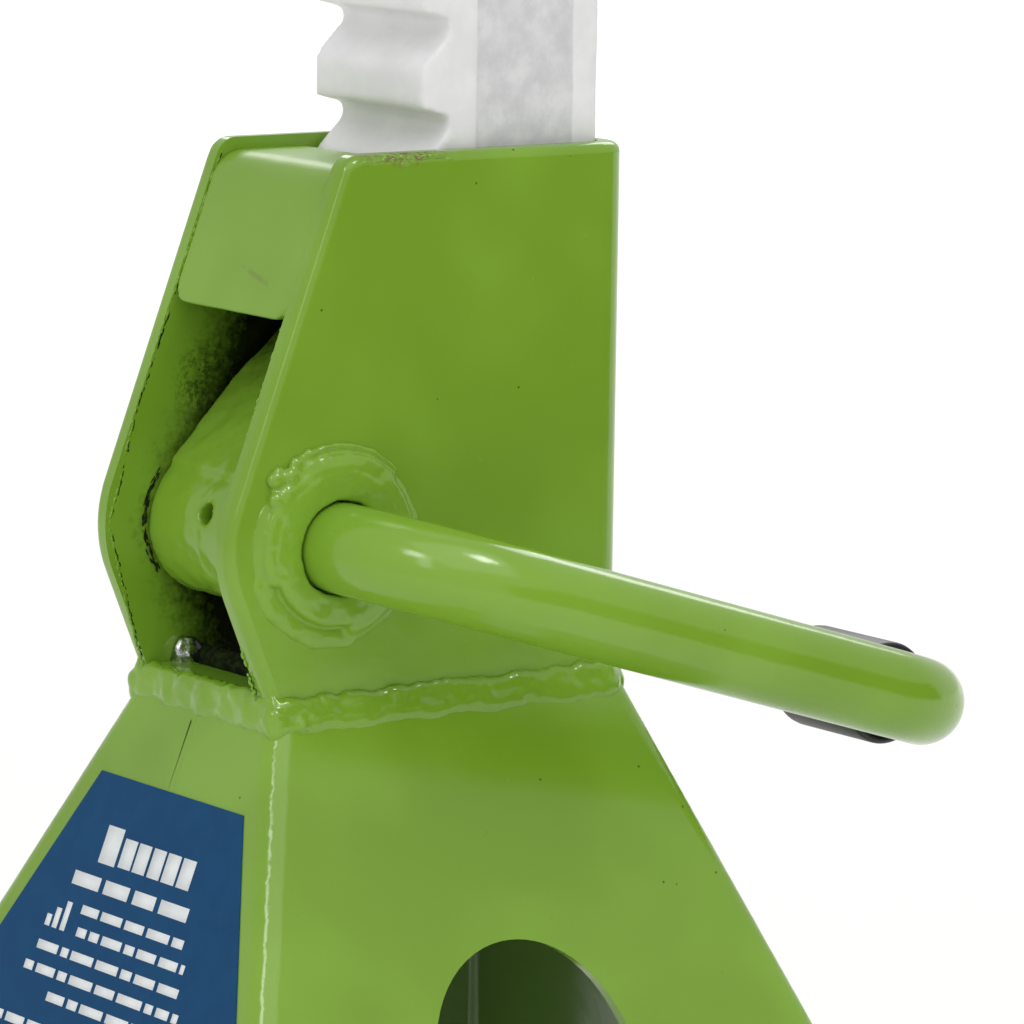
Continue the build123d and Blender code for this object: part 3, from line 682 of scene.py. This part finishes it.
def makeCap(s, r):
    along = Vector((0, math.cos(math.radians(r["droop"])), -math.sin(math.radians(r["droop"]))))
    centre = Vector((0, pivotY, pivotZ)) + along * r["length"]
    closed = s["openEnd"] - s["length"]
    outer, inner = s["radius"], r["radius"] + s["gap"]
    points = [(closed, 0.0)]
    for k in range(s["arcSteps"] + 1):
        a = math.radians(90 * k / s["arcSteps"])
        points.append((closed + s["round"] * (1 - math.sin(a)), outer - s["round"] * (1 - math.cos(a))))
    points[1:] = sorted(points[1:], key=lambda p: p[0])
    lip = (outer - inner) / 2
    for k in range(s["arcSteps"] + 1):
        a = math.radians(180 * k / s["arcSteps"])
        points.append((s["openEnd"] - lip + lip * math.sin(a), inner + lip + lip * math.cos(a)))
    points += [(closed + s["wall"], inner), (closed + s["wall"], 0.0)]
    bm = bmesh.new()
    verts = [bm.verts.new((centre + Vector((x - centre.x, radius, 0))) * mm) for x, radius in points]
    for a, b in zip(verts, verts[1:]):
        bm.edges.new((a, b))
    bmesh.ops.spin(bm, geom=bm.verts[:] + bm.edges[:], cent=centre * mm, axis=(1, 0, 0),
                   angle=math.radians(360), steps=s["sides"], use_merge=True)
    bmesh.ops.remove_doubles(bm, verts=bm.verts, dist=0.002 * mm)
    bmesh.ops.recalc_face_normals(bm, faces=bm.faces)
    makePiece(bm, "rubberCapDipped", black, "handle", ["handle_cap"])


makeCap(capSet, rodSet)
print("cap done")


baseEdgeRound = 0.3
for name in ("base_shell_right", "base_shell_left", "foot_front_right", "foot_front_left",
             "foot_rear_right", "foot_rear_left", "front_sill_plate"):
    coat = greenBaseShaded if name.startswith("base_shell") else green
    piece = makePiece(nodeCopy(name), name + "_painted", coat, "stand", [name])
    softEdges(piece, baseEdgeRound)
paint(nodes["base_seam_welds"], green)
# painted shade: the roll pin and the lower guide rod are painted nearly black
for name in ("pawl_roll_pin", "lower_guide_rod"):
    paint(nodes[name], darkMattAndShade)
paint(nodes["bar_stop_pin"], white)
print("base done")


burrSet = dict(x=13.5, step=0.45, lowZ=162.0, highZ=234.0, plateFoot=214, frontY=-35.5, slope=0.39, midZ=185,
               bulge=1.9, bulgeFade=0.12, hubSpots=90, hubAngles=(140, 218), hubRadii=(10.2, 10.9),
               chipLumps=70, chipX=16.15, chipY=(-13.0, 1.0), chipZ=235.45,
               seamX=-0.95, seamTop=160.2, seamLow=151.6, seamY=-28.20, seamLean=0.387, seamStep=0.25)


def makeBurrs(s):
    nibs, darkFlecks = bmesh.new(), bmesh.new()
    random.seed(31)
    # ragged paint nibs and thin dark flecks along the sheared inner edges of both cheeks
    for side in (-1, 1):
        z = s["lowZ"]
        while z < s["highZ"]:
            away = abs(z - s["midZ"])
            y = s["frontY"] + s["slope"] * away + max(0.0, s["bulge"] - s["bulgeFade"] * away)
            jitter = random.uniform(-0.12, 0.12)
            lean = Quaternion((1, 0, 0), math.copysign(math.atan(s["slope"]), s["midZ"] - z))
            if side < 0 or z < s["plateFoot"]:
                if random.random() < 0.75:
                    lump(nibs, (side * (s["x"] + 0.12 + jitter * 0.5), y + 0.38 + jitter, z),
                         random.uniform(0.16, 0.28), (0.9, 1.0, random.uniform(1.2, 2.6)), lean, 2)
                if random.random() < 0.6:
                    lump(darkFlecks, (side * (s["x"] - 0.02), y + 0.6 + jitter, z), random.uniform(0.05, 0.13),
                         (0.3, 1.0, random.uniform(2.5, 5.5)), lean, 1)
            z += s["step"] * random.uniform(0.7, 1.3)
    # dark flecks in a crescent round the hub's edge, where it meets the left cheek
    for k in range(s["hubSpots"]):
        a = math.radians(random.uniform(*s["hubAngles"]))
        r = random.uniform(*s["hubRadii"])
        lump(darkFlecks, (-s["x"] + 0.1, pivotY + r * math.cos(a), pivotZ + r * math.sin(a)),
             random.uniform(0.06, 0.17), (0.5, random.uniform(0.6, 1.2), random.uniform(2.0, 4.5)),
             Quaternion((1, 0, 0), a), 1)
    # a thick run of paint on the knocked top corner of the right cheek
    for k in range(s["chipLumps"]):
        y = random.uniform(*s["chipY"])
        lump(nibs, (s["chipX"] + random.uniform(-0.6, 0.1), y, s["chipZ"] - random.random() ** 2 * 1.3),
             random.uniform(0.35, 0.6), (0.8, random.uniform(1.0, 2.2), 0.8))
    # the open butt seam below the front weld, wider towards the top
    z = s["seamTop"]
    while z > s["seamLow"]:
        lump(darkFlecks, (s["seamX"] - 0.02 * (160 - z), s["seamY"] - s["seamLean"] * (s["seamTop"] - z), z),
             0.05 + 0.011 * (z - s["seamLow"]), (0.6, 0.25, 2.6), None, 1)
        z -= s["seamStep"]
    makePiece(nibs, "edgeBurrs", greenHeadShaded, "stand")
    makePiece(darkFlecks, "edgeGrime", darkMattAndShade, "stand")


makeBurrs(burrSet)
print("burrs done")


spatterSet = dict(place=(-12.6, -21.4, 166.6), size=2.3, squeeze=(0.8, 1, 1.25),
                  waves=[(0.35, 1.3), (0.12, 0.5)])


def makeSpatter(s):
    # a ball of weld spatter left in the corner above the front weld
    bm = bmesh.new()
    lump(bm, s["place"], s["size"], s["squeeze"], None, 4)
    ball = makePiece(bm, "weldSpatterBall", steel, "stand")
    roughen(ball, s["waves"], 14)


makeSpatter(spatterSet)
print("spatter done")


labelSet = dict(top=151.2, lean=0.387, faceY=-31.66, proud=0.17, thick=0.05,
                heading=(-11.4, -7.4, 6.6, 11.8),  # left, right, upper and lower edge
                # rows of dashes: left, right, upper edge
                rows=((-11.5, 13.5, 17.8), (-11.0, 15.5, 20.8), (-19.0, 16.0, 24.0), (-20.5, 17.5, 27.1),
                      (-13.0, 12.0, 30.2), (-24.0, 19.0, 34.6), (-23.0, 24.0, 37.8), (-26.0, 25.0, 41.0),
                      (-27.0, 22.0, 44.2), (-28.0, 26.0, 47.4)),
                rowTall=1.25, dash=(1.6, 6.0), dashGap=0.85)


def makeLabelPrint(s):
    # generic printing: a heading block, three rising bars and rows of dashes
    bm = bmesh.new()
    down = Vector((0, -s["lean"], -1)).normalized()
    out = Vector((0, -1, s["lean"])).normalized()
    origin = Vector((0, s["faceY"], s["top"])) + out * s["proud"]

    def bar(left, right, upper, lower):
        # starts from four corners, which solidify makes a solid
        corners = ((left, upper), (right, upper), (right, lower), (left, lower))
        bm.faces.new([bm.verts.new((origin + Vector((u, 0, 0)) + down * d) * mm) for u, d in corners])

    def dashes(left, right, upper, tall, longRange, gap):
        u = left
        while u < right - longRange[0] / 2:
            end = min(u + random.uniform(*longRange), right)
            bar(u, end, upper, upper + tall)
            u = end + gap

    random.seed(41)
    bar(*s["heading"])
    dashes(-6.6, 12.4, 7.6, 4.0, (2.9, 3.1), 0.6)
    dashes(-15.8, 14.0, 13.7, 1.9, (3.5, 8.0), 1.2)
    for k in range(3):
        bar(-19.0 + k * 1.9, -17.8 + k * 1.9, 20.4 - k * 1.2, 22.0)
    for left, right, upper in s["rows"]:
        dashes(left, right, upper, s["rowTall"], s["dash"], s["dashGap"])
    bmesh.ops.recalc_face_normals(bm, faces=bm.faces)
    bmesh.ops.solidify(bm, geom=bm.faces[:], thickness=s["thick"] * mm)
    makePiece(bm, "labelPrint", ink, "stand")


makeLabelPrint(labelSet)
paint(nodes["front_label"], blue)
print("label done")
